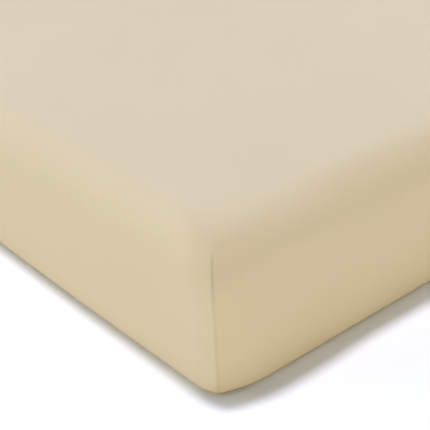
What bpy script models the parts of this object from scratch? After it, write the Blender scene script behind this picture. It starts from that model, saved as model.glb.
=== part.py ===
"""A fitted sheet pulled over a single mattress, in metres, +Z up.

The origin is on the floor under the middle of the mattress. X runs across the mattress and Y along it,
and the head is at +Y. Two pieces: the cloth, which is one solid from its top panel to its folded hem,
and the mattress that it grips. Both are lofts through rounded rectangles that share their columns of
points, so the space between them is the same all round.
"""

import math
from collections import namedtuple

import bmesh
import bpy
from mathutils import Vector

# The mattress, over its own cover
MATTRESS_WIDTH = 0.900
MATTRESS_LENGTH = 2.000
MATTRESS_HEIGHT = 0.200

# The cloth and the space that it keeps
CLOTH = 0.0015  # thickness of the sheet
LIE_GAP = 0.0003  # where cloth and mattress lie on each other
WALL_GAP = 0.0020  # at the walls and over the edges
FOOT_ROUND = 0.006  # radius of the cloth round the bottom edge
CROWN = 0.0030  # how far the middle of the top stands above its edge
CROWN_INSET = 0.260  # how far in from the walls the crown is reached
EDGE_DROP = 0.075  # how far below the top the walls start to bend over

# The cloth under the mattress
TURN_UNDER = 0.125  # from the wall to the inner edge of the hem
HEM_DEPTH = 0.018  # width of the folded hem
HEM_SLOT = 0.0006  # between the two layers of the hem
BAND_SHARE = 0.45  # where the band has its middle ring, between the wall and the hem
BAND_ROUNDING = 1.50  # there, and the next figures at the fold and at the cut edge of the hem
FOLD_ROUNDING = 2.00
CUT_ROUNDING = 1.95

# How finely the forms are divided
CORNER_STEPS = 8
SIDE_STEPS = 12
END_STEPS = 6
TOP_STEPS = 9
WALL_STEPS = 4
FOOT_STEPS = 4
HEM_STEPS = 4
CROWN_SHARES = (1.0, 0.45, 0.15)  # from the full crown out to the turn
CROWDING = 3  # how much closer the rings of the turn lie where it is tightest

SKIN = CLOTH + WALL_GAP  # from the mattress wall to the outside of the cloth
HALF_WIDTH = MATTRESS_WIDTH / 2 + SKIN
HALF_LENGTH = MATTRESS_LENGTH / 2 + SKIN
HEM_HEIGHT = 2 * CLOTH + HEM_SLOT
MATTRESS_FLOOR = HEM_HEIGHT + LIE_GAP
TOP_EDGE = MATTRESS_FLOOR + MATTRESS_HEIGHT + LIE_GAP + CLOTH - CROWN  # height of the cloth at its edge

# The turn from the top into a wall: how far in it begins, and its fullness (0.71 is an ellipse, and more
# is nearer to a point). The long sides turn in a broad roll and the short ends more tightly.
Edge = namedtuple("Edge", "over_top fullness")
SIDE_EDGE = Edge(over_top=0.036, fullness=1.00)
END_EDGE = Edge(over_top=0.060, fullness=1.60)
CORE_SLACK = 0.14  # the mattress's edge is less full than the cloth's by this much, so the cloth clears it

# One ring for each height at which a loft passes: how far in from the long sides and from the short ends
# it lies, its height, how far its corners are rounded compared with the wall's, and how sharply the
# corners are creased along their seams.
Ring = namedtuple("Ring", "side_inset end_inset height rounding crease")

# One row for each corner: which way it lies, how far its curve runs along the long side and along the
# short end, its fullness, and the share of the curve at which its seam stands. The crease pulls the two
# halves of the curve towards turn_side and turn_end, which are measured from the point of the corner.
Corner = namedtuple("Corner", "x_side y_side along_side along_end fullness seam turn_side turn_end")
CORNERS = (
    Corner(-1, -1, 0.040, 0.066, fullness=1.15, seam=0.375, turn_side=0.030, turn_end=0.041),
    Corner(+1, -1, 0.044, 0.052, fullness=1.00, seam=0.500, turn_side=0.026, turn_end=0.030),
    Corner(+1, +1, 0.048, 0.046, fullness=0.95, seam=0.500, turn_side=0.028, turn_end=0.027),
    Corner(-1, +1, 0.040, 0.058, fullness=1.05, seam=0.500, turn_side=0.022, turn_end=0.033),
)
CREASE_STARTS = 0.008  # below the top, and the crease is full at the next figure
CREASE_FULL = 0.024
TOP_ROUNDING = 1.35  # at the end of the turn, over the wall's, and the next where the crown is reached
CROWN_ROUNDING = 1.60

# Soft swells and hollows of the walls and of the top edge. Inside the reach, which is measured on each
# axis from the centre, the cloth and the mattress move together by the push, most at the centre.
Swell = namedtuple("Swell", "centre reach push")
SWELLS = {
    "bow of the long side": Swell((-0.45, -0.70, 0.05), (0.12, 0.30, 0.11), (-0.0030, 0, 0)),
    "rolled edge of the long side": Swell((-0.45, -0.70, 0.17), (0.11, 0.40, 0.10), (-0.0020, 0, -0.0030)),
    "corner pressed down": Swell((-0.45, -1.00, 0.20), (0.10, 0.10, 0.08), (0, 0, -0.0040)),
    "top edge next to the corner": Swell((-0.33, -1.00, 0.19), (0.09, 0.09, 0.08), (0, -0.0015, -0.0025)),
    "top edge past the dimple": Swell((-0.22, -1.00, 0.19), (0.10, 0.12, 0.08), (0, 0.0030, 0.0035)),
    "drawn-in head end": Swell((0.12, 1.00, 0.11), (0.30, 0.09, 0.10), (0, -0.0030, 0)),
    "full far side": Swell((0.45, 0.25, 0.12), (0.10, 0.50, 0.10), (0.0030, 0, 0)),
    "slack far side": Swell((0.45, -0.55, 0.13), (0.10, 0.28, 0.09), (-0.0030, 0, 0)),
    "full head of the long side": Swell((-0.45, 0.55, 0.12), (0.10, 0.35, 0.10), (-0.0025, 0, 0)),
}

CREAM = (0.672, 0.578, 0.392, 1)
TICKING = (0.790, 0.780, 0.740, 1)


def blend(start, end, share):
    return start + (end - start) * share


def ease(share):
    """0 to 1 with a soft start and end."""
    share = min(1, max(0, share))
    return share * share * (3 - 2 * share)


def turn_inset(over_top, fullness, drop_share):
    """How far in the turn over the top edge has come, at a share of EDGE_DROP below the top."""
    if drop_share == 0:
        return over_top
    reach = math.sqrt(fullness**2 - 1 + 1 / drop_share) - fullness
    return over_top * drop_share * reach**2


def drop_shares():
    """From the top down to the wall, closest together where the turn is tightest."""
    shares = []
    for step in range(TOP_STEPS + 1):
        done, left = step / TOP_STEPS, 1 - step / TOP_STEPS
        shares.append(done**2 / (done**2 + CROWDING * done * left + left**2))
    return shares


def crown_rings(drop):
    """The top panel, from where it is highest to where it starts to bend down."""
    rings = []
    for share in CROWN_SHARES:
        rise = 1 - (1 - share) ** 2
        rings.append(
            Ring(
                side_inset=blend(SIDE_EDGE.over_top, CROWN_INSET, share),
                end_inset=blend(END_EDGE.over_top, CROWN_INSET, share),
                height=TOP_EDGE + CROWN * rise - drop,
                rounding=blend(TOP_ROUNDING, CROWN_ROUNDING, share),
                crease=0,
            )
        )
    return rings


def turn_rings(skin, drop, slack):
    """The turn over the top edge of a form that lies inside the walls by skin and below the top by drop."""
    rings = []
    for share in drop_shares():
        rings.append(
            Ring(
                side_inset=skin + turn_inset(SIDE_EDGE.over_top - skin, SIDE_EDGE.fullness - slack, share),
                end_inset=skin + turn_inset(END_EDGE.over_top - skin, END_EDGE.fullness - slack, share),
                height=TOP_EDGE - drop - (EDGE_DROP - drop) * share,
                rounding=blend(TOP_ROUNDING, 1.0, share**0.5),
                crease=ease((EDGE_DROP * share - CREASE_STARTS) / (CREASE_FULL - CREASE_STARTS)),
            )
        )
    return rings


def even_ring(inset, height, rounding=1.0, crease=1.0):
    return Ring(inset, inset, height, rounding, crease)


def wall_rings(skin):
    """The upright wall between the turn at the top and the one at the floor."""
    top = TOP_EDGE - EDGE_DROP
    return [even_ring(skin, blend(top, FOOT_ROUND, step / WALL_STEPS)) for step in range(1, WALL_STEPS)]


def foot_rings(skin, radius):
    """The quarter round at the floor."""
    rings = []
    for step in range(FOOT_STEPS + 1):
        turn = math.radians(90 * step / FOOT_STEPS)
        rings.append(even_ring(skin + radius * (1 - math.cos(turn)), FOOT_ROUND - radius * math.sin(turn)))
    return rings


def hem_rings():
    """The band on the floor and the hem that is folded back over it."""
    middle = blend(FOOT_ROUND, TURN_UNDER, BAND_SHARE)
    rings = [even_ring(middle, 0, BAND_ROUNDING, crease=0.5)]
    fold = HEM_HEIGHT / 2
    for step in range(HEM_STEPS + 1):
        turn = math.radians(180 * step / HEM_STEPS)
        inset = TURN_UNDER - fold + fold * math.sin(turn)
        rings.append(even_ring(inset, fold * (1 - math.cos(turn)), FOLD_ROUNDING, crease=0))
    rings.append(even_ring(TURN_UNDER - HEM_DEPTH, HEM_HEIGHT, CUT_ROUNDING, crease=0))
    return rings


def smooth_curve(corner, share):
    """(from the side, from the end) of a place on a corner's curve without its crease."""
    side_part = (1 - share) ** 2
    end_part = share**2
    whole = side_part + end_part + 2 * corner.fullness * share * (1 - share)
    return Vector((corner.along_end * end_part / whole, corner.along_side * side_part / whole))


def creased_curve(corner, share):
    """The same with the crease: one bow from the long side to the seam, and one from there to the end."""
    seam = smooth_curve(corner, corner.seam)
    if share <= corner.seam:
        start, pull, end = Vector((0, corner.along_side)), Vector((0, corner.turn_side)), seam
        along = share / corner.seam
    else:
        start, pull, end = seam, Vector((corner.turn_end, 0)), Vector((corner.along_end, 0))
        along = (share - corner.seam) / (1 - corner.seam)
    return start.lerp(pull, along).lerp(pull.lerp(end, along), along)


def corner_points(corner, ring):
    """One corner in plan, from the long side to the short end."""
    points = []
    for step in range(CORNER_STEPS + 1):
        share = step / CORNER_STEPS
        place = smooth_curve(corner, share).lerp(creased_curve(corner, share), ring.crease) * ring.rounding
        x = corner.x_side * (HALF_WIDTH - ring.side_inset - place.x)
        y = corner.y_side * (HALF_LENGTH - ring.end_inset - place.y)
        points.append((x, y))
    return points


def ring_points(ring):
    """A rounded rectangle, anticlockwise from the long side at -X, with its swells and hollows."""
    curves = []
    for number, corner in enumerate(CORNERS):
        curve = corner_points(corner, ring)
        curves.append(curve[::-1] if number % 2 else curve)
    plan = []
    for number, curve in enumerate(curves):
        plan.extend(curve)
        steps = SIDE_STEPS if number % 2 else END_STEPS
        start, end = Vector(curve[-1]), Vector(curves[(number + 1) % 4][0])
        plan.extend(start.lerp(end, step / steps).to_tuple() for step in range(1, steps))
    return [swollen((x, y, ring.height)) for x, y in plan]


def swollen(point):
    """The point after every swell and hollow has moved it."""
    moved = Vector(point)
    for swell in SWELLS.values():
        away = Vector((at - middle) / reach for at, middle, reach in zip(point, swell.centre, swell.reach))
        if away.length < 1:
            moved += Vector(swell.push) * (1 - away.length_squared) ** 2
    return moved


def close_ring(mesh, corners):
    """A fan of triangles from the middle of a ring."""
    bmesh.ops.poke(mesh, faces=[mesh.faces.new(corners)])


def add_loft(mesh, rings):
    """Quads between rings of as many points each, closed at the first ring. Returns the last ring."""
    rows = [[mesh.verts.new(point) for point in ring] for ring in rings]
    close_ring(mesh, rows[0])
    for upper, lower in zip(rows, rows[1:]):
        for here in range(len(upper)):
            after = (here + 1) % len(upper)
            mesh.faces.new((upper[here], lower[here], lower[after], upper[after]))
    return rows[-1]


def make_material(name, colour, roughness):
    material = bpy.data.materials.new(name)
    material.use_nodes = True
    shader = material.node_tree.nodes["Principled BSDF"]
    shader.inputs["Base Color"].default_value = colour
    shader.inputs["Roughness"].default_value = roughness
    shader.inputs["Metallic"].default_value = 0
    material.diffuse_color = colour
    return material


def add_object(name, mesh, material, collection):
    data = bpy.data.meshes.new(name)
    mesh.to_mesh(data)
    mesh.free()
    data.materials.append(material)
    data.shade_smooth()
    data.set_sharp_from_angle(angle=math.radians(40))
    made = bpy.data.objects.new(name, data)
    collection.objects.link(made)
    return made


def make_sheet(collection):
    """The cloth: its outer face is lofted, and Solidify gives it its thickness inwards."""
    rings = crown_rings(0) + turn_rings(0, 0, 0) + wall_rings(0) + foot_rings(0, FOOT_ROUND) + hem_rings()
    mesh = bmesh.new()
    add_loft(mesh, [ring_points(ring) for ring in rings])
    sheet = add_object("fitted_sheet", mesh, make_material("cream_jersey", CREAM, 0.9), collection)
    thickness = sheet.modifiers.new("cloth thickness", "SOLIDIFY")
    thickness.thickness = CLOTH
    thickness.offset = -1
    thickness.use_even_offset = True
    return sheet


def make_mattress(collection):
    """The plain block inside, with the same columns of points as the cloth around it."""
    lie = CLOTH + LIE_GAP
    rings = crown_rings(lie) + turn_rings(SKIN, lie, CORE_SLACK) + wall_rings(SKIN)
    rings += foot_rings(SKIN, FOOT_ROUND - MATTRESS_FLOOR)
    mesh = bmesh.new()
    underside = add_loft(mesh, [ring_points(ring) for ring in rings])
    close_ring(mesh, underside[::-1])
    return add_object("mattress", mesh, make_material("plain_ticking", TICKING, 0.85), collection)


def main():
    for old in list(bpy.data.objects):
        bpy.data.objects.remove(old, do_unlink=True)
    collection = bpy.data.collections.new("fitted_sheet_on_mattress")
    bpy.context.scene.collection.children.link(collection)
    make_mattress(collection)
    make_sheet(collection)


main()
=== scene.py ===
"""A cream fitted sheet pulled over a single mattress, finished for its photograph.

Metres, +Z up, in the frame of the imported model: the origin is on the floor under the middle of the
mattress, the head is at +Y, and the corner that faces the camera is the one at -X and -Y. The cloth is
one piece from its top panel to its folded hem. Its seam and hem stitches and the mattress inside are
pieces of their own.
"""

import math
from collections import namedtuple

import bmesh
import bpy
from mathutils import Matrix, Vector, noise


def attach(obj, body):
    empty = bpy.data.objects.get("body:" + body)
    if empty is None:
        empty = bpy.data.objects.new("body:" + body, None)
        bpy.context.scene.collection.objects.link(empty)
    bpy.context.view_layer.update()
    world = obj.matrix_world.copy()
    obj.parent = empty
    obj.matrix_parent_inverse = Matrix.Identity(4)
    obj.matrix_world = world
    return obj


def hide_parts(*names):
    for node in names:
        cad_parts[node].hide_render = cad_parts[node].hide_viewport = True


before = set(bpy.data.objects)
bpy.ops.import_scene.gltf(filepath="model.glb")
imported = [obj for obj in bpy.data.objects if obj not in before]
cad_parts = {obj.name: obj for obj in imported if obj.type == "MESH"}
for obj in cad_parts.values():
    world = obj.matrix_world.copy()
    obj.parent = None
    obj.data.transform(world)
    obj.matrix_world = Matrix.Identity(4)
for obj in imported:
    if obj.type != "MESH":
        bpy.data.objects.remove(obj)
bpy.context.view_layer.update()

# The mattress, over its own cover
MATTRESS_WIDTH = 0.900
MATTRESS_LENGTH = 2.000
MATTRESS_HEIGHT = 0.200

# The cloth and the space that it keeps
CLOTH = 0.0015  # its thickness
LIE_GAP = 0.0003  # where the cloth and the mattress lie on each other
WALL_GAP = 0.0020  # where the cloth stands beside the mattress
FOOT_ROUND = 0.006  # the radius at the foot of the walls
CROWN = 0.0030  # how far the middle of the top stands above its edge
CROWN_INSET = 0.260  # how far in the top reaches its full height
EDGE_DROP = 0.075  # how far below the top the walls start to bend over

# The cloth under the mattress
TURN_UNDER = 0.125  # from the wall to the folded edge of the hem
HEM_DEPTH = 0.018
HEM_SLOT = 0.0006  # between the two layers of the hem
UNDER_CLEAR = 0.0010  # room for the gathers between the hem and the mattress
UNDER_DROP_STARTS = 0.010  # past the folded edge the mattress comes down again by UNDER_CLEAR
UNDER_DROP_REACH = 0.050  # and this is how broad that slope is

# The outside of the cloth
SKIN = CLOTH + WALL_GAP
HALF_WIDTH = MATTRESS_WIDTH / 2 + SKIN
HALF_LENGTH = MATTRESS_LENGTH / 2 + SKIN
HEM_HEIGHT = 2 * CLOTH + HEM_SLOT
MATTRESS_FLOOR = HEM_HEIGHT + LIE_GAP
TOP_EDGE = MATTRESS_FLOOR + MATTRESS_HEIGHT + LIE_GAP + CLOTH - CROWN

# The turn from the top into a wall: how far in it begins, and its fullness. The long sides turn in a
# broad roll and the short ends more tightly.
Edge = namedtuple("Edge", "over_top fullness")
SIDE_EDGE = Edge(over_top=0.036, fullness=1.00)
END_EDGE = Edge(over_top=0.060, fullness=1.60)
CORE_SLACK = 0.14  # how much less full the mattress's own edges are

# The corners: which way each lies, how far its curve runs along the long side and along the short end,
# its fullness, and where its seam stands on the curve (0 on the long side, 1 on the short end). The
# crease pulls the two halves of the curve towards turn_side and turn_end.
Corner = namedtuple("Corner", "x_side y_side along_side along_end fullness seam turn_side turn_end")
CORNERS = (
    Corner(-1, -1, 0.040, 0.066, fullness=1.15, seam=0.375, turn_side=0.030, turn_end=0.041),
    Corner(+1, -1, 0.044, 0.052, fullness=1.00, seam=0.500, turn_side=0.026, turn_end=0.030),
    Corner(+1, +1, 0.048, 0.046, fullness=0.95, seam=0.500, turn_side=0.028, turn_end=0.027),
    Corner(-1, +1, 0.040, 0.058, fullness=1.05, seam=0.500, turn_side=0.022, turn_end=0.033),
)
CREASE_STARTS = 0.008  # below the top, and the crease is full at the next figure
CREASE_FULL = 0.024

# How far the corners are rounded, compared with the wall's
CROWN_ROUNDING = 1.60  # where the crown is reached
TOP_ROUNDING = 1.35  # where the top ends and the turn begins
BAND_ROUNDING = 1.95  # under the mattress, and the next figures from there to the cut edge of the hem
NEAR_LINE_ROUNDING = 1.97
LINE_ROUNDING = 1.98
PAST_LINE_ROUNDING = 1.99
FOLD_ROUNDING = 2.00
MIDDLE_HEM_ROUNDING = 1.97
CUT_ROUNDING = 1.95

# Soft swells and hollows of the walls and of the top edge, which cloth and mattress share: where the middle
# of each lies, how far it reaches along each axis, and how far and which way it moves the surface.
Swell =namedtuple("Swell", "centre reach push")
SWELLS = {
    "bow of the long side": Swell((-0.45, -0.70, 0.05), (0.12, 0.30, 0.11), (-0.0030, 0, 0)),
    "rolled edge of the long side": Swell((-0.45, -0.70, 0.17), (0.11, 0.40, 0.10), (-0.0020, 0, -0.0030)),
    "corner pressed down": Swell((-0.45, -1.00, 0.20), (0.10, 0.10, 0.08), (0, 0, -0.0040)),
    "top edge next to the corner": Swell((-0.33, -1.00, 0.19), (0.09, 0.09, 0.08), (0, -0.0015, -0.0025)),
    "top edge past the dimple": Swell((-0.22, -1.00, 0.19), (0.10, 0.12, 0.08), (0, 0.0030, 0.0035)),
    "drawn-in head end": Swell((0.12, 1.00, 0.11), (0.30, 0.09, 0.10), (0, -0.0030, 0)),
    "full far side": Swell((0.45, 0.25, 0.12), (0.10, 0.50, 0.10), (0.0030, 0, 0)),
    "slack far side": Swell((0.45, -0.55, 0.13), (0.10, 0.28, 0.09), (-0.0030, 0, 0)),
    "full head of the long side": Swell((-0.45, 0.55, 0.12), (0.10, 0.35, 0.10), (-0.0025, 0, 0)),
}

# The seams and the hem, in the cloth itself
SEAM_DEPTH = 0.0008
SEAM_HALF_WIDTH = 0.0010
SEAM_LIP = 0.0002  # how far the cloth stands up beside the seam
SEAM_LIP_AT = 0.0040  # how far from the seam it is highest
SEAM_LIP_WIDTH = 0.0026
SEAM_STARTS = 0.019  # below the top, and the seam is full at the next figure
SEAM_FULL = 0.030
SEAM_TIGHTEST = 0.162  # the height at which the seam is drawn in the most
SEAM_TIGHT_REACH = 0.034
SEAM_SLACKEST = 0.48  # what is left of its depth further down
SEAM_IN_HEM = 0.15  # what is left of the seam in the hem
HEM_LINES = (0.0115, 0.0160)  # the two rows of hem stitches, from the folded edge
HEM_LINE_DEPTH = 0.0004
HEM_LINE_SIDE = 0.0012  # how far beside a row the cloth lies flat again
GROOVE_SHADE_WIDTH = 1.3 * SEAM_HALF_WIDTH  # how far the painted shade in a seam's trough reaches
LINE_SHADE = 0.6  # the strength of the painted shade along a row of hem stitches, beside that
GATHER = 0.0008  # the height of the gathers
GATHER_LENGTH = 0.034
GATHER_REACH = 0.150  # how far from a corner the hem is gathered
GATHER_WANDER = 0.9  # how unevenly they follow each other, as a share of their length
GATHER_WANDER_FINENESS = 9
GATHER_WANDER_LINE = (0.4, 2.0)  # where the line lies along which the noise is read
BROAD_GATHER_LENGTH = 6 * GATHER_LENGTH  # between the corners
BROAD_GATHER_SHARE = 0.6

# The faint unevenness of the stretched walls
SLACK_NEAR = 0.0002  # its height near the photographed corner
SLACK_ADDED = 0.0006  # how much more there is far from it
SLACK_STARTS = 0.5  # how far from that corner it begins to grow, and the next figure how soon it is full
SLACK_GROWS_OVER = 0.6
SLACK_FINENESS = Vector((5, 3.2, 7))
SLACK_FADE = 0.03  # below the top edge and above the floor

# The stitches: how far apart, how long and how thick each is
Stitch = namedtuple("Stitch", "spacing length radius")
HEM_STITCH = Stitch(spacing=0.0050, length=0.0036, radius=0.00022)
SEAM_STITCH = Stitch(spacing=0.0032, length=0.0019, radius=0.00020)
STITCH_SIDES = 6
STITCH_RINGS = 4
HEM_STITCH_LIFT = 0.00002  # off the floor
SEAM_STITCH_LIFT = 0.0001  # out of the bottom of the trough
SEAM_STITCH_SLANT = 0.35  # along the seam, for each part across it
SEWN_FROM = 0.9  # stitches show where the seam is at least this strong

# How finely each piece is divided: its columns on each half of a corner, along a long side and along a
# short end, and its rings in the turn over the edge, the wall, the foot, the band and the folded edge
Fineness = namedtuple("Fineness", "curve side end edge wall foot band fold")
FINE = Fineness(curve=14, side=110, end=46, edge=20, wall=12, foot=6, band=9, fold=8)
PLAIN = Fineness(curve=5, side=40, end=16, edge=9, wall=6, foot=4, band=0, fold=0)
CROWN_SHARES = (0.30, 0.22, 0.16, 0.11, 0.07, 0.03)  # the rings between the crown (1) and the turn (0)
CROWDING = 3  # how much closer the rings of the turn lie where it is tightest
CURVE_GROWTH = 1.27  # each column of a corner is this much wider than the one nearer to the seam
MERGE_WITHIN = 0.00002  # corners of two panels this close together become one


# ---------------------------------------------------------------- shared measures


def blend(start, end, share):
    return start + (end - start) * share


def ease(share):
    """0 to 1 with a soft start and end."""
    share = min(1, max(0, share))
    return share * share * (3 - 2 * share)


def bump_at(distance, width):
    """A bell of height 1."""
    return math.exp(-((distance / width) ** 2))


def wave(turns):
    """From 0 to 1 and back, once in each turn."""
    return 0.5 + 0.5 * math.sin(math.tau * turns)


def swollen(point):
    """The point after every swell and hollow has moved it."""
    moved = Vector(point)
    for swell in SWELLS.values():
        away = Vector((at - middle) / reach for at, middle, reach in zip(point, swell.centre, swell.reach))
        if away.length < 1:
            moved += Vector(swell.push) * (1 - away.length_squared) ** 2
    return moved


# ---------------------------------------------------------------- columns: places round the mattress


# A column stands on a corner's curve, or on the straight between two corners. seam_gap is how far it is
# along the cloth from the nearest seam, and run is its place along the whole wall.
Column = namedtuple("Column", "panel corner share next_corner next_share along seam_gap run")

# A ring is one height of the cloth: how far in from the long sides and from the short ends it lies, its
# height, how far its corners are rounded compared with the wall's, how sharply they are creased, and the
# strengths of the corner seam, of the gathers and of a row of hem stitches.
Ring = namedtuple("Ring", "side_inset end_inset height rounding crease seam gather line")


def even_ring(inset, height, rounding=1.0, crease=1.0, seam=1.0, gather=0.0, line=0.0):
    return Ring(inset, inset, height, rounding, crease, seam, gather, line)


WALL = even_ring(0, 0)
IN_HEM = {"crease": 0, "seam": SEAM_IN_HEM, "gather": 1}  # what the rings of the hem share


def smooth_curve(corner, share):
    """(from the side, from the end) of a place on a corner's curve without its crease."""
    side_part = (1 - share) ** 2
    end_part = share**2
    whole = side_part + end_part + 2 * corner.fullness * share * (1 - share)
    return Vector((corner.along_end * end_part / whole, corner.along_side * side_part / whole))


def creased_curve(corner, share):
    """The same with the crease: one bow from the long side to the seam, and one from there to the end."""
    seam = smooth_curve(corner, corner.seam)
    if share <= corner.seam:
        start, pull, end = Vector((0, corner.along_side)), Vector((0, corner.turn_side)), seam
        along = share / corner.seam
    else:
        start, pull, end = seam, Vector((corner.turn_end, 0)), Vector((corner.along_end, 0))
        along = (share - corner.seam) / (1 - corner.seam)
    return start.lerp(pull, along).lerp(pull.lerp(end, along), along)


def corner_point(corner, share, ring):
    place = smooth_curve(corner, share).lerp(creased_curve(corner, share), ring.crease) * ring.rounding
    x = corner.x_side * (HALF_WIDTH - ring.side_inset - place.x)
    y = corner.y_side * (HALF_LENGTH - ring.end_inset - place.y)
    return Vector((x, y))


def shares_from_seam(corner, last_share, steps):
    """(share, distance from the seam) at growing steps from the seam to one end of the corner's curve."""
    samples = 120
    rounding_error = 1e-9
    share, distance = corner.seam, 0.0
    line = [(share, distance)]
    point = corner_point(corner, share, WALL)
    for step in range(1, samples + 1):
        share = blend(corner.seam, last_share, step / samples)
        after = corner_point(corner, share, WALL)
        distance += (after - point).length
        point = after
        line.append((share, distance))
    found = []
    for step in range(steps + 1):
        wanted = distance * (CURVE_GROWTH**step - 1) / (CURVE_GROWTH**steps - 1)
        for (share_a, at_a), (share_b, at_b) in zip(line, line[1:]):
            if wanted <= at_b + rounding_error:
                found.append((blend(share_a, share_b, (wanted - at_a) / (at_b - at_a)), wanted))
                break
    return found


def straight_shares(steps):
    """Places along a straight, closer together at its two ends."""
    tightness = 0.75
    return [u - tightness * math.sin(math.tau * u) / math.tau for u in (n / steps for n in range(1, steps))]


def panel_columns(number, fineness, run):
    """The columns of one wall from its first seam up to its last, without the last.

    The walls are in turn the foot end, the side at +X, the head end and the side at -X.
    """
    first, last = CORNERS[number], CORNERS[(number + 1) % len(CORNERS)]
    is_end = number % 2 == 0
    curve_end = 1 if is_end else 0
    steps = fineness.end if is_end else fineness.side
    opening = shares_from_seam(first, curve_end, fineness.curve)
    closing = shares_from_seam(last, curve_end, fineness.curve)
    straight = (corner_point(first, curve_end, WALL) - corner_point(last, curve_end, WALL)).length
    length = opening[-1][1] + straight + closing[-1][1]
    columns = [Column(number, first, s, None, None, 0, d, run + d) for s, d in opening]
    for along in straight_shares(steps):
        here = opening[-1][1] + along * straight
        gap = min(here, length - here)
        columns.append(Column(number, first, curve_end, last, curve_end, along, gap, run + here))
    for s, d in closing[:0:-1]:
        columns.append(Column(number, last, s, None, None, 0, d, run + length - d))
    return columns, run + length


def make_columns(fineness):
    columns, run = [], 0.0
    for number in range(len(CORNERS)):
        added, run = panel_columns(number, fineness, run)
        columns.extend(added)
    return columns


def plan_point(column, ring):
    point = corner_point(column.corner, column.share, ring)
    if column.next_corner:
        point = point.lerp(corner_point(column.next_corner, column.next_share, ring), column.along)
    return point


# ---------------------------------------------------------------- rings: heights down the cloth


def crown_rise(share):
    """How far the top panel has risen, where 0 is the end of the turn and 1 the full crown."""
    return CROWN * (1 - (1 - min(1, max(0, share))) ** 2)


def crown_rings(drop):
    rings = []
    for share in CROWN_SHARES:
        ring = even_ring(0, TOP_EDGE + crown_rise(share) - drop, crease=0, seam=0)
        rings.append(
            ring._replace(
                side_inset=blend(SIDE_EDGE.over_top, CROWN_INSET, share),
                end_inset=blend(END_EDGE.over_top, CROWN_INSET, share),
                rounding=blend(TOP_ROUNDING, CROWN_ROUNDING, share),
            )
        )
    return rings


def turn_inset(over_top, fullness, drop_share):
    """How far in the turn over the top edge has come, at a share of EDGE_DROP below the top."""
    if drop_share == 0:
        return over_top
    reach = math.sqrt(fullness**2 - 1 + 1 / drop_share) - fullness
    return over_top * drop_share * reach**2


def drop_shares(steps):
    """From the top down to the wall, closest together where the turn is tightest."""
    for step in range(steps + 1):
        done, left = step / steps, 1 - step / steps
        yield done**2 / (done**2 + CROWDING * done * left + left**2)


def turn_rings(steps, skin=0, drop=0, slack=0):
    """The turn over the top edge of a form that lies inside the walls by skin and below the top by drop."""
    rings = []
    for share in drop_shares(steps):
        below = EDGE_DROP * share
        rings.append(
            Ring(
                side_inset=skin + turn_inset(SIDE_EDGE.over_top - skin, SIDE_EDGE.fullness - slack, share),
                end_inset=skin + turn_inset(END_EDGE.over_top - skin, END_EDGE.fullness - slack, share),
                height=TOP_EDGE - drop - (EDGE_DROP - drop) * share,
                rounding=blend(TOP_ROUNDING, 1.0, math.sqrt(share)),
                crease=ease((below - CREASE_STARTS) / (CREASE_FULL - CREASE_STARTS)),
                seam=ease((below - SEAM_STARTS) / (SEAM_FULL - SEAM_STARTS)),
                gather=0,
                line=0,
            )
        )
    return rings


def wall_rings(steps, skin=0):
    top = TOP_EDGE - EDGE_DROP
    return [even_ring(skin, blend(top, FOOT_ROUND, step / steps)) for step in range(1, steps)]


def foot_rings(steps, skin=0, radius=FOOT_ROUND):
    """The quarter round at the floor."""
    rings = []
    for step in range(steps + 1):
        turn = math.radians(90 * step / steps)
        rings.append(even_ring(skin + radius * (1 - math.cos(turn)), FOOT_ROUND - radius * math.sin(turn)))
    return rings


def band_rings(steps):
    """The cloth flat on the floor, up to the two rows of hem stitches."""
    outer_line, inner_line = TURN_UNDER - HEM_LINES[1], TURN_UNDER - HEM_LINES[0]
    rings = []
    for step in range(1, steps + 1):
        share = step / steps
        inset = blend(FOOT_ROUND, outer_line - HEM_LINE_SIDE, share)
        rounding = blend(1.0, BAND_ROUNDING, ease(2 * share))
        seam = blend(1, SEAM_IN_HEM, ease(share))
        rings.append(even_ring(inset, 0, rounding, crease=1 - share, seam=seam, gather=ease(share)))
    for line in (outer_line, inner_line):
        if line == inner_line:
            rings.append(even_ring(line - HEM_LINE_SIDE, 0, NEAR_LINE_ROUNDING, **IN_HEM))
        rings.append(even_ring(line, 0, LINE_ROUNDING, line=1, **IN_HEM))
        rings.append(even_ring(line + HEM_LINE_SIDE, 0, PAST_LINE_ROUNDING, **IN_HEM))
    return rings


def fold_rings(steps):
    """The folded edge of the hem and the layer that lies back over the band."""
    radius = HEM_HEIGHT / 2
    rings = []
    for step in range(steps + 1):
        turn = math.radians(180 * step / steps)
        inset = TURN_UNDER - radius + radius * math.sin(turn)
        rings.append(even_ring(inset, radius * (1 - math.cos(turn)), FOLD_ROUNDING, **IN_HEM))
    rings.append(even_ring(TURN_UNDER - HEM_DEPTH / 2, HEM_HEIGHT, MIDDLE_HEM_ROUNDING, **IN_HEM))
    rings.append(even_ring(TURN_UNDER - HEM_DEPTH, HEM_HEIGHT, CUT_ROUNDING, **IN_HEM))
    return rings


# ---------------------------------------------------------------- the cloth's own unevenness


def drawn_in(ring):
    """How tightly a corner seam pulls the cloth in: the most near its top, and less towards the floor."""
    tight = bump_at(ring.height - SEAM_TIGHTEST, SEAM_TIGHT_REACH)
    return ring.seam * blend(SEAM_SLACKEST, 1, tight)


def seam_relief(column, ring):
    """The trough of a corner seam, with a soft lip on both sides."""
    trough = -SEAM_DEPTH * bump_at(column.seam_gap, SEAM_HALF_WIDTH)
    lip = SEAM_LIP * bump_at(column.seam_gap - SEAM_LIP_AT, SEAM_LIP_WIDTH)
    return drawn_in(ring) * trough + ring.seam * lip


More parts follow.
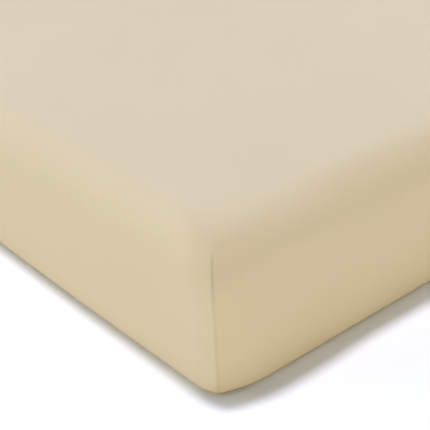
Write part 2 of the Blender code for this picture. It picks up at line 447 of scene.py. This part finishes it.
def gather_lift(column, ring):
    """The gathers that the hem's grip draws in, strongest at the corners. They rise off the floor."""
    near = bump_at(column.seam_gap, GATHER_REACH)
    wander = GATHER_WANDER * noise.noise((column.run * GATHER_WANDER_FINENESS, *GATHER_WANDER_LINE))
    fine = wave(column.run / GATHER_LENGTH + wander)
    broad = wave(column.run / BROAD_GATHER_LENGTH + wander)
    return ring.gather * GATHER * (near * fine + BROAD_GATHER_SHARE * (1 - near) * broad)


def slack_relief(place):
    """A faint unevenness of the stretched walls, fading out towards the photographed corner."""
    from_corner = math.hypot(place.x + HALF_WIDTH, place.y + HALF_LENGTH)
    strength = SLACK_NEAR + SLACK_ADDED * ease((from_corner - SLACK_STARTS) / SLACK_GROWS_OVER)
    on_wall = ease((TOP_EDGE - place.z) / SLACK_FADE) * ease((place.z - FOOT_ROUND) / SLACK_FADE)
    return strength * on_wall * noise.noise(place * SLACK_FINENESS)


# A place on the cloth: before its relief, the way that its outer face looks, and after its relief
Place = namedtuple("Place", "flat facing final")


def flat_places(columns, rings):
    """Every ring's places with the swells and hollows, before the cloth's own unevenness."""
    flats = []
    for ring in rings:
        plan = (plan_point(column, ring) for column in columns)
        flats.append([swollen((point.x, point.y, ring.height)) for point in plan])
    return flats


def ease_facings(facings, columns, seams):
    """Beside a seam the cloth is drawn in along one direction, so that it doesn't cross itself there."""
    columns_aside = 4
    eased = list(facings)
    for seam in seams:
        mean = (facings[seam - columns_aside] + facings[seam + columns_aside]).normalized()
        for number in range(seam - FINE.curve, seam + FINE.curve + 1):
            nearness = bump_at(columns[number].seam_gap, SEAM_LIP_AT)
            eased[number] = facings[number].lerp(mean, nearness).normalized()
    return eased


def cloth_places(columns, rings):
    """A Place for each ring and column."""
    flats = flat_places(columns, rings)
    count, last = len(columns), len(rings) - 1
    seams = [number for number, column in enumerate(columns) if column.seam_gap == 0]
    places = []
    for level, ring in enumerate(rings):
        above, here, below = flats[max(level - 1, 0)], flats[level], flats[min(level + 1, last)]
        facings = []
        for number in range(count):
            along = here[(number + 1) % count] - here[number - 1]
            facings.append((below[number] - above[number]).cross(along).normalized())
        facings = ease_facings(facings, columns, seams)
        line = []
        for number, (column, facing) in enumerate(zip(columns, facings)):
            relief = seam_relief(column, ring) + slack_relief(here[number]) - HEM_LINE_DEPTH * ring.line
            final = here[number] + facing * relief
            final.z += gather_lift(column, ring)
            line.append(Place(here[number], facing, final))
        places.append(line)
    return places


def distances_down(places):
    """How far each place is down the cloth from where the turn over the edge begins."""
    start = len(CROWN_SHARES)
    downs = [[0.0] * len(places[0]) for _ in range(start + 1)]
    for level in range(start + 1, len(places)):
        pairs = zip(downs[-1], places[level - 1], places[level])
        downs.append([before + (here.flat - above.flat).length for before, above, here in pairs])
    return downs


# ---------------------------------------------------------------- meshes


def start_grid(mesh, columns, fineness, ring, height_at):
    """A grid panel whose border is the ring, and whose inside is spread between its four sides."""
    across = 2 * fineness.curve + fineness.end
    along = 2 * fineness.curve + fineness.side
    bmesh.ops.create_grid(mesh, x_segments=across, y_segments=along, size=1)
    column_of = mesh.verts.layers.int.new("column")
    count = len(columns)
    foot = [ring[i] for i in range(across + 1)]
    far = [ring[across + j] for j in range(along + 1)]
    head = [ring[2 * across + along - i] for i in range(across + 1)]
    near = [ring[-j % count] for j in range(along + 1)]
    for vertex in mesh.verts:
        i = round((vertex.co.x + 1) / 2 * across)
        j = round((vertex.co.y + 1) / 2 * along)
        u = (foot[i].x - foot[0].x) / (foot[-1].x - foot[0].x)
        v = (near[j].y - near[0].y) / (near[-1].y - near[0].y)
        lengthwise = foot[i].lerp(head[i], v)
        crosswise = near[j].lerp(far[j], u)
        corners = foot[0].lerp(foot[-1], u).lerp(head[0].lerp(head[-1], u), v)
        place = lengthwise + crosswise - corners
        place.z = height_at(place)
        if j == 0:
            vertex[column_of] = i
        elif i == across:
            vertex[column_of] = across + j
        elif j == along:
            vertex[column_of] = 2 * across + along - i
        elif i == 0:
            vertex[column_of] = (count - j) % count
        vertex.co = place
    return column_of


def extrude_ring(mesh, edges, column_of, line, ring_of=None, number=0):
    """One more ring of faces from the border edges. Returns the new border."""
    made = bmesh.ops.extrude_edge_only(mesh, edges=edges)["geom"]
    for vertex in (item for item in made if isinstance(item, bmesh.types.BMVert)):
        vertex.co = line[vertex[column_of]]
        if ring_of is not None:
            vertex[ring_of] = number
    return [item for item in made if isinstance(item, bmesh.types.BMEdge) and item.is_boundary]


def finish_mesh(name, mesh, material):
    """A finished piece at the origin, smooth all over."""
    data = bpy.data.meshes.new(name)
    mesh.to_mesh(data)
    mesh.free()
    data.materials.append(material)
    data.shade_smooth()
    made = bpy.data.objects.new(name, data)
    bpy.context.scene.collection.objects.link(made)
    return made


def top_height(place):
    """The height of the top panel at a place in plan."""
    from_side = (HALF_WIDTH - abs(place.x) - SIDE_EDGE.over_top) / (CROWN_INSET - SIDE_EDGE.over_top)
    from_end = (HALF_LENGTH - abs(place.y) - END_EDGE.over_top) / (CROWN_INSET - END_EDGE.over_top)
    return swollen((place.x, place.y, TOP_EDGE + crown_rise(min(from_side, from_end)))).z


def lay_out_cut(mesh, columns, places, ring_of, column_of):
    """The UV map of the cloth: its place in the flat cut in metres, so that the knit follows the panels.

    The four walls unfold from the top panel, each away from its middle.
    """
    unfolding = ((0, -1), (1, 0), (0, 1), (-1, 0))
    cut = mesh.loops.layers.uv.new("cut")
    downs = distances_down(places)
    turn_start = places[len(CROWN_SHARES)]
    last_column = len(columns) - 1
    for face in mesh.faces:
        numbers = [vertex[column_of] for vertex in face.verts]
        lowest = last_column if {0, last_column} <= set(numbers) else min(numbers)
        x_way, y_way = unfolding[columns[lowest].panel]
        for loop in face.loops:
            level, number = loop.vert[ring_of], loop.vert[column_of]
            down = downs[level][number] if level else 0
            start = turn_start[number].final if down else loop.vert.co
            loop[cut].uv = start.x + x_way * down, start.y + y_way * down


def mark_painted_shade(mesh, columns, rings, ring_of, column_of):
    """How much painted shade each place gets: the seam troughs and the rows of hem stitches are darkened.
    """
    painted_shade = mesh.verts.layers.float.new("painted_shade")
    for vertex in mesh.verts:
        ring, column = rings[vertex[ring_of]], columns[vertex[column_of]]
        groove = drawn_in(ring) * bump_at(column.seam_gap, GROOVE_SHADE_WIDTH)
        vertex[painted_shade] = max(groove, LINE_SHADE * ring.line)


def make_cloth(material, columns, rings, places):
    """The sheet. The top panel is a grid, and every ring from there to the hem is extruded from it."""
    mesh = bmesh.new()
    column_of = start_grid(mesh, columns, FINE, [place.final for place in places[0]], top_height)
    ring_of = mesh.verts.layers.int.new("ring")
    edges = [edge for edge in mesh.edges if edge.is_boundary]
    for number, line in enumerate(places[1:], start=1):
        edges = extrude_ring(mesh, edges, column_of, [place.final for place in line], ring_of, number)
    bmesh.ops.recalc_face_normals(mesh, faces=mesh.faces)
    lay_out_cut(mesh, columns, places, ring_of, column_of)
    mark_painted_shade(mesh, columns, rings, ring_of, column_of)
    cloth = finish_mesh("stretched_sheet", mesh, material)
    thickness = cloth.modifiers.new("cloth thickness", "SOLIDIFY")
    thickness.thickness = CLOTH
    thickness.offset = -1
    thickness.use_even_offset = True
    return cloth


def make_mattress(material):
    """The foam block in its plain cover. It is seen only from below, inside the hem."""
    columns = make_columns(PLAIN)
    lie = CLOTH + LIE_GAP
    rings = crown_rings(lie) + turn_rings(PLAIN.edge, SKIN, lie, CORE_SLACK) + wall_rings(PLAIN.wall, SKIN)
    rings += foot_rings(PLAIN.foot, SKIN, FOOT_ROUND - MATTRESS_FLOOR - UNDER_CLEAR)
    lines = flat_places(columns, rings)
    mesh = bmesh.new()
    column_of = start_grid(mesh, columns, PLAIN, lines[0], lambda place: top_height(place) - lie)
    edges = [edge for edge in mesh.edges if edge.is_boundary]
    for line in lines[1:]:
        edges = extrude_ring(mesh, edges, column_of, line)
    underside = bmesh.new()
    start_grid(underside, columns, PLAIN, lines[-1], underside_height)
    bmesh.ops.reverse_faces(underside, faces=underside.faces)
    panel = bpy.data.meshes.new("underside panel")
    underside.to_mesh(panel)
    underside.free()
    mesh.from_mesh(panel)
    bpy.data.meshes.remove(panel)
    bmesh.ops.remove_doubles(mesh, verts=mesh.verts, dist=MERGE_WITHIN)
    bmesh.ops.recalc_face_normals(mesh, faces=mesh.faces)
    return finish_mesh("foam_mattress", mesh, material)


def underside_height(place):
    """The mattress clears the gathered hem and lies a little lower inside it."""
    inset = min(HALF_WIDTH - abs(place.x), HALF_LENGTH - abs(place.y))
    past_hem = inset - TURN_UNDER - UNDER_DROP_STARTS
    return MATTRESS_FLOOR + UNDER_CLEAR * (1 - ease(past_hem / UNDER_DROP_REACH))


# ---------------------------------------------------------------- stitches


def stitch_matrix(middle, along, up, stitch):
    """A stretched ball's placement, lying along the thread."""
    along = along.normalized()
    side = up.cross(along).normalized()
    up = along.cross(side)
    axes = Matrix((along * stitch.length / 2, side * stitch.radius, up * stitch.radius))
    placement = axes.transposed().to_4x4()
    placement.translation = middle
    return placement


def walk(line, spacing, start):
    """(place, direction) at even distances along a line of points."""
    travelled, wanted = 0.0, start
    for here, after in zip(line, line[1:]):
        length = (after - here).length
        while wanted <= travelled + length:
            yield here.lerp(after, (wanted - travelled) / length), after - here
            wanted += spacing
        travelled += length


def add_stitches(mesh, placements):
    """Small threads, made in batches so that each ball is added to a small mesh."""
    batch_size = 60
    for first in range(0, len(placements), batch_size):
        batch = bmesh.new()
        for matrix in placements[first : first + batch_size]:
            bmesh.ops.create_uvsphere(
                batch, u_segments=STITCH_SIDES, v_segments=STITCH_RINGS, radius=1, matrix=matrix
            )
        data = bpy.data.meshes.new("stitch batch")
        batch.to_mesh(data)
        batch.free()
        mesh.from_mesh(data)
        bpy.data.meshes.remove(data)


def make_hem_stitches(material, rings, places):
    """Two rows of short stitches on the underside, sunk into the band so that it lies flat."""
    stitch = HEM_STITCH
    lift = Vector((0, 0, stitch.radius - HEM_LINE_DEPTH + HEM_STITCH_LIFT))
    placements = []
    for number, (ring, places_here) in enumerate(zip(rings, places)):
        if not ring.line:
            continue
        line = [place.final for place in places_here]
        line.append(line[0])
        for place, along in walk(line, stitch.spacing, stitch.spacing / 2 * (number % 2)):
            placements.append(stitch_matrix(place + lift, along, Vector((0, 0, 1)), stitch))
    mesh = bmesh.new()
    add_stitches(mesh, placements)
    return finish_mesh("hem_stitches", mesh, material)


def make_seam_stitches(material, columns, rings, places):
    """The threads that show deep in the four corner seams, where the two panels are sewn together."""
    stitch = SEAM_STITCH
    placements = []
    seams = [number for number, column in enumerate(columns) if column.seam_gap == 0]
    for seam in seams:
        line, facings, acrosses = [], [], []
        for ring, here in zip(rings, places):
            if ring.seam < SEWN_FROM:
                continue
            depth = SEAM_DEPTH * drawn_in(ring) - SEAM_STITCH_LIFT
            line.append(here[seam].flat - here[seam].facing * depth)
            facings.append(here[seam].facing)
            acrosses.append(here[(seam + 1) % len(here)].flat - here[seam - 1].flat)
        for place, along in walk(line, stitch.spacing, stitch.spacing):
            nearest = min(range(len(line)), key=lambda n: (line[n] - place).length)
            slant = acrosses[nearest].normalized() + SEAM_STITCH_SLANT * along.normalized()
            placements.append(stitch_matrix(place, slant, facings[nearest], stitch))
    mesh = bmesh.new()
    add_stitches(mesh, placements)
    return finish_mesh("seam_stitches", mesh, material)


# ---------------------------------------------------------------- materials


JERSEY_PALE = (0.651, 0.547, 0.362, 1)
JERSEY_DEEP = (0.618, 0.511, 0.326, 1)
JERSEY_LIGHT = (0.736, 0.641, 0.457, 1)
# The dark tone of the slubs, and the painted shade in the seam troughs and along the hem stitch rows
JERSEY_SHADE = (0.396, 0.302, 0.167, 1)
JERSEY_SHEEN = (1.0, 0.96, 0.88, 1)
TICKING_PALE = (0.800, 0.790, 0.750, 1)
TICKING_SHADE = (0.640, 0.620, 0.570, 1)
THREAD_PALE = (0.760, 0.680, 0.500, 1)
THREAD_SHADE = (0.560, 0.470, 0.310, 1)
PAPER_PALE = (0.975, 0.980, 0.965, 1)
PAPER_SHADE = (0.965, 0.970, 0.955, 1)

# The sizes of the patterns, in metres
WALE = 0.0011
COURSE = 0.0009
TWILL = 0.0013
PLY = 0.0004

# How strongly a pattern, or the painted shade, shows in a colour
LOOP_TINT = 0.06
SLUB_TINT = 0.05
# how dark the painted shade in the seam troughs and along the hem stitch rows is
PAINTED_SHADE_TINT = 0.35
TWILL_TINT = 0.15
CLOUD_TINT = 0.25


def new_material(name):
    material = bpy.data.materials.new(name)
    material.use_nodes = True
    tree = material.node_tree
    return material, tree, tree.nodes["Principled BSDF"]


def add_node(tree, kind, settings=None, inputs=None):
    """A node with its settings and unlinked values. A link is given as the socket that it comes from."""
    node = tree.nodes.new(kind)
    for name, value in (settings or {}).items():
        setattr(node, name, value)
    for name, value in (inputs or {}).items():
        if isinstance(value, bpy.types.NodeSocket):
            tree.links.new(value, node.inputs[name])
        else:
            node.inputs[name].default_value = value
    return node


def maths(tree, operation, first, second=0.0):
    node = add_node(tree, "ShaderNodeMath", {"operation": operation}, {0: first, 1: second})
    return node.outputs[0]


def scaled(tree, value, factor, added=0.0):
    """value * factor + added"""
    product = maths(tree, "MULTIPLY", value, factor)
    return maths(tree, "ADD", product, added) if added else product


def wave_across(tree, value, length):
    """A wave from 0 to 1 that repeats at each length."""
    return scaled(tree, maths(tree, "SINE", scaled(tree, value, math.tau / length)), 0.5, 0.5)


def cloudiness(tree, place, fineness, detail):
    """Noise from 0 to 1."""
    settings = {"Vector": place, "Scale": fineness, "Detail": detail}
    return add_node(tree, "ShaderNodeTexNoise", inputs=settings).outputs["Fac"]


def mix_colours(tree, share, first, second):
    """The first colour, and as much of the second as share says."""
    # The node repeats its sockets' names for each kind of value, so the ones for colours go by number.
    share_in, first_in, second_in, colour_out = 0, 6, 7, 2
    inputs = {share_in: share, first_in: first, second_in: second}
    return add_node(tree, "ShaderNodeMix", {"data_type": "RGBA"}, inputs).outputs[colour_out]


def raise_bump(tree, height, strength, distance, under=None):
    """The normal of a surface with this relief, laid over another relief where one is given."""
    inputs = {"Strength": strength, "Distance": distance, "Height": height}
    if under:
        inputs["Normal"] = under
    return add_node(tree, "ShaderNodeBump", inputs=inputs).outputs[0]


def vary_roughness(tree, shader, value, least, most):
    """Roughness from least where the value is 0 to most where it is 1."""
    tree.links.new(scaled(tree, value, most - least, least), shader.inputs["Roughness"])


def knit_height(tree, place):
    """Rows of small V-shaped loops: the wales run along the bed and the courses across it."""
    lean, loop_share, rib_share = 1.4, 0.32, 0.18
    middle = half_wale = 0.5
    parts = add_node(tree, "ShaderNodeSeparateXYZ", inputs={0: place})
    across = scaled(tree, parts.outputs["X"], 1 / WALE)
    along = scaled(tree, parts.outputs["Y"], 1 / COURSE)
    leaning = maths(tree, "ADD", along, scaled(tree, maths(tree, "PINGPONG", across, half_wale), lean))
    loops = maths(tree, "SINE", scaled(tree, leaning, math.tau))
    ribs = maths(tree, "SINE", scaled(tree, across, math.tau))
    mixed = maths(tree, "ADD", scaled(tree, loops, loop_share), scaled(tree, ribs, rib_share))
    return maths(tree, "ADD", mixed, middle)


def make_jersey():
    """Fine cream cotton jersey: small loops, a faint pilled nap, soft variation, a soft sheen, and painted
    shade in the seam troughs and along the hem stitch rows.
    """
    material, tree, shader = new_material("cream jersey")
    cut = add_node(tree, "ShaderNodeUVMap", {"uv_map": "cut"}).outputs["UV"]
    place = add_node(tree, "ShaderNodeTexCoord").outputs["Object"]
    loops = knit_height(tree, cut)
    cloudy = cloudiness(tree, place, fineness=4.0, detail=3.0)
    slubs = cloudiness(tree, place, fineness=160.0, detail=2.0)
    nap = cloudiness(tree, place, fineness=900.0, detail=2.0)
    painted_shade = add_node(tree, "ShaderNodeAttribute", {"attribute_name": "painted_shade"}).outputs["Fac"]

    base = mix_colours(tree, cloudy, JERSEY_DEEP, JERSEY_PALE)
    looped = mix_colours(tree, scaled(tree, loops, LOOP_TINT), base, JERSEY_LIGHT)
    slubbed = mix_colours(tree, scaled(tree, slubs, SLUB_TINT), looped, JERSEY_SHADE)
    # Painted shade: the seam troughs and the rows of hem stitches are darkened towards the shade colour.
    shaded = mix_colours(tree, scaled(tree, painted_shade, PAINTED_SHADE_TINT), slubbed, JERSEY_SHADE)
    tree.links.new(shaded, shader.inputs["Base Color"])
    vary_roughness(tree, shader, nap, least=0.80, most=0.90)
    shader.inputs["Sheen Weight"].default_value = 0.12
    shader.inputs["Sheen Roughness"].default_value = 0.55
    shader.inputs["Sheen Tint"].default_value = JERSEY_SHEEN
    shader.inputs["Specular IOR Level"].default_value = 0.25

    knit = raise_bump(tree, loops, strength=0.35, distance=0.00012)
    fuzz = raise_bump(tree, maths(tree, "ADD", slubs, nap), strength=0.25, distance=0.00010, under=knit)
    tree.links.new(fuzz, shader.inputs["Normal"])
    return material


def make_ticking():
    """The mattress's cover: plain off-white twill."""
    material, tree, shader = new_material("plain ticking")
    y_slant, z_slant = 0.6, 0.8
    place = add_node(tree, "ShaderNodeTexCoord").outputs["Object"]
    parts = add_node(tree, "ShaderNodeSeparateXYZ", inputs={0: place})
    slanted = maths(tree, "ADD", parts.outputs["X"], scaled(tree, parts.outputs["Y"], y_slant))
    upright = maths(tree, "ADD", slanted, scaled(tree, parts.outputs["Z"], z_slant))
    threads = wave_across(tree, upright, TWILL)
    cloudy = cloudiness(tree, place, fineness=6.0, detail=4.0)
    grain = cloudiness(tree, place, fineness=700.0, detail=2.0)

    woven = mix_colours(tree, scaled(tree, threads, TWILL_TINT), TICKING_PALE, TICKING_SHADE)
    mottled = mix_colours(tree, scaled(tree, cloudy, CLOUD_TINT), woven, TICKING_SHADE)
    tree.links.new(mottled, shader.inputs["Base Color"])
    vary_roughness(tree, shader, grain, least=0.76, most=0.88)
    shader.inputs["Sheen Weight"].default_value = 0.10

    weave = raise_bump(tree, threads, strength=0.5, distance=0.0002)
    fuzz = raise_bump(tree, grain, strength=0.3, distance=0.0002, under=weave)
    tree.links.new(fuzz, shader.inputs["Normal"])
    return material


def make_thread():
    """Sewing thread to match the cloth, with its twist."""
    material, tree, shader = new_material("matching thread")
    place = add_node(tree, "ShaderNodeTexCoord").outputs["Object"]
    parts = add_node(tree, "ShaderNodeSeparateXYZ", inputs={0: place})
    slanted = maths(tree, "ADD", parts.outputs["X"], parts.outputs["Y"])
    ply = wave_across(tree, maths(tree, "ADD", slanted, parts.outputs["Z"]), PLY)
    tree.links.new(mix_colours(tree, ply, THREAD_SHADE, THREAD_PALE), shader.inputs["Base Color"])
    vary_roughness(tree, shader, ply, least=0.50, most=0.60)
    bump = raise_bump(tree, ply, strength=0.4, distance=0.00005)
    tree.links.new(bump, shader.inputs["Normal"])
    return material


def make_paper():
    """The floor: matt white paper."""
    material, tree, shader = new_material("white paper")
    place = add_node(tree, "ShaderNodeTexCoord").outputs["Object"]
    grain = cloudiness(tree, place, fineness=3.0, detail=2.0)
    tree.links.new(mix_colours(tree, grain, PAPER_SHADE, PAPER_PALE), shader.inputs["Base Color"])
    shader.inputs["Roughness"].default_value = 1.0
    shader.inputs["Specular IOR Level"].default_value = 0.0
    return material


# ---------------------------------------------------------------- floor, lights and camera


FLOOR_REACH = 30  # from its middle to its edges
FLOOR_CLEAR = 0.0003  # below the cloth
FLOOR_SEGMENTS = 24


def make_floor(material):
    """The white paper that the bed lies on, a hair lower so that the two share no face."""
    mesh = bmesh.new()
    bmesh.ops.create_grid(mesh, x_segments=FLOOR_SEGMENTS, y_segments=FLOOR_SEGMENTS, size=FLOOR_REACH)
    bmesh.ops.translate(mesh, verts=mesh.verts, vec=(0, 0, -FLOOR_CLEAR))
    floor = finish_mesh("paper_floor", mesh, material)


def add_soft_light(name, towards, spread, strength, colour):
    """An even light from far away. It looks `spread` degrees broad, which sets how soft its shadows are."""
    data = bpy.data.lights.new(name, "SUN")
    data.energy = strength
    data.angle = math.radians(spread)
    data.color = colour
    light = bpy.data.objects.new(name, data)
    light.rotation_euler = Vector(towards).to_track_quat("Z", "Y").to_euler()
    bpy.context.scene.collection.objects.link(light)


# Soft lights all round: on which bearing each stands, in degrees from +Y towards +X, how high, how broad
# it looks from the bed, how strong it is and its colour.
Softbox = namedtuple("Softbox", "name bearing height spread strength colour")
SOFTBOXES = (
    Softbox("overhead", bearing=20, height=79, spread=7.5, strength=2.33, colour=(0.825, 0.830, 1.00)),
    Softbox("left window", bearing=-45, height=22, spread=40, strength=1.02, colour=(0.90, 0.94, 1.00)),
    Softbox("left lamp", bearing=-90, height=4, spread=18, strength=1.30, colour=(1.00, 0.96, 0.84)),
    Softbox("front lamp", bearing=180, height=4, spread=18, strength=1.32, colour=(1.00, 0.89, 0.67)),
    Softbox("front right lamp", bearing=135, height=4, spread=18, strength=0.54, colour=(1.00, 0.89, 0.67)),
    Softbox("upper right", bearing=90, height=35, spread=60, strength=1.42, colour=(0.76, 0.87, 1.00)),
    Softbox("back window", bearing=0, height=22, spread=40, strength=1.32, colour=(0.78, 0.88, 1.00)),
)


def make_lights():
    """The soft lights. The world gives none, so that the shadow along the floor stays clear."""
    world =bpy.data.worlds.new("studio")
    world.use_nodes = True
    world.node_tree.nodes["Background"].inputs["Strength"].default_value = 0.0
    bpy.context.scene.world = world
    for box in SOFTBOXES:
        level, turn = math.cos(math.radians(box.height)), math.radians(box.bearing)
        towards = (math.sin(turn) * level, math.cos(turn) * level, math.sin(math.radians(box.height)))
        add_soft_light(box.name, towards, box.spread, box.strength, box.colour)


# The photo's camera, worked out from the outline of the bed in it
CAMERA_PLACE = Vector((-1.0543, -1.7565, 0.8102))
CAMERA_YAW =math.radians(38.80)  # from +Y towards +X
CAMERA_PITCH = math.radians(30.64)  # downwards
CAMERA_ROLL = math.radians(-2.89)
CAMERA_LENS = 96.28  # millimetres, as the next figure
CAMERA_SENSOR = 36
CAMERA_SEES = (0.01, 200)  # from the nearest to the farthest


def make_camera():
    level = math.cos(CAMERA_PITCH)
    forward = Vector((math.sin(CAMERA_YAW) * level, math.cos(CAMERA_YAW) * level, -math.sin(CAMERA_PITCH)))
    across = Vector((math.cos(CAMERA_YAW), -math.sin(CAMERA_YAW), 0))
    over = across.cross(forward)
    right = across * math.cos(CAMERA_ROLL) + over * math.sin(CAMERA_ROLL)
    upright = over * math.cos(CAMERA_ROLL) - across * math.sin(CAMERA_ROLL)
    data = bpy.data.cameras.new("camera")
    data.lens = CAMERA_LENS
    data.sensor_width = CAMERA_SENSOR
    data.clip_start, data.clip_end = CAMERA_SEES
    camera = bpy.data.objects.new("camera", data)
    turned = Matrix((right, upright, -forward)).transposed().to_4x4()
    turned.translation = CAMERA_PLACE
    camera.matrix_world = turned
    bpy.context.scene.collection.objects.link(camera)
    bpy.context.scene.camera = camera


# ---------------------------------------------------------------- the whole


def main():
    make_camera()
    make_lights()
    make_floor(make_paper())
    bpy.context.scene.view_settings.view_transform = "Standard"

    columns = make_columns(FINE)
    rings = crown_rings(0) + turn_rings(FINE.edge) + wall_rings(FINE.wall) + foot_rings(FINE.foot)
    rings += band_rings(FINE.band) + fold_rings(FINE.fold)
    places = cloth_places(columns, rings)
    thread = make_thread()
    cloth = make_cloth(make_jersey(), columns, rings, places)
    mattress = make_mattress(make_ticking())
    hem_stitches = make_hem_stitches(thread, rings, places)
    seam_stitches = make_seam_stitches(thread, columns, rings, places)

    for piece in (cloth, hem_stitches, seam_stitches):
        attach(piece, "root")
    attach(mattress, "root")
    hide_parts("fitted_sheet")
    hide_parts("mattress")


main()
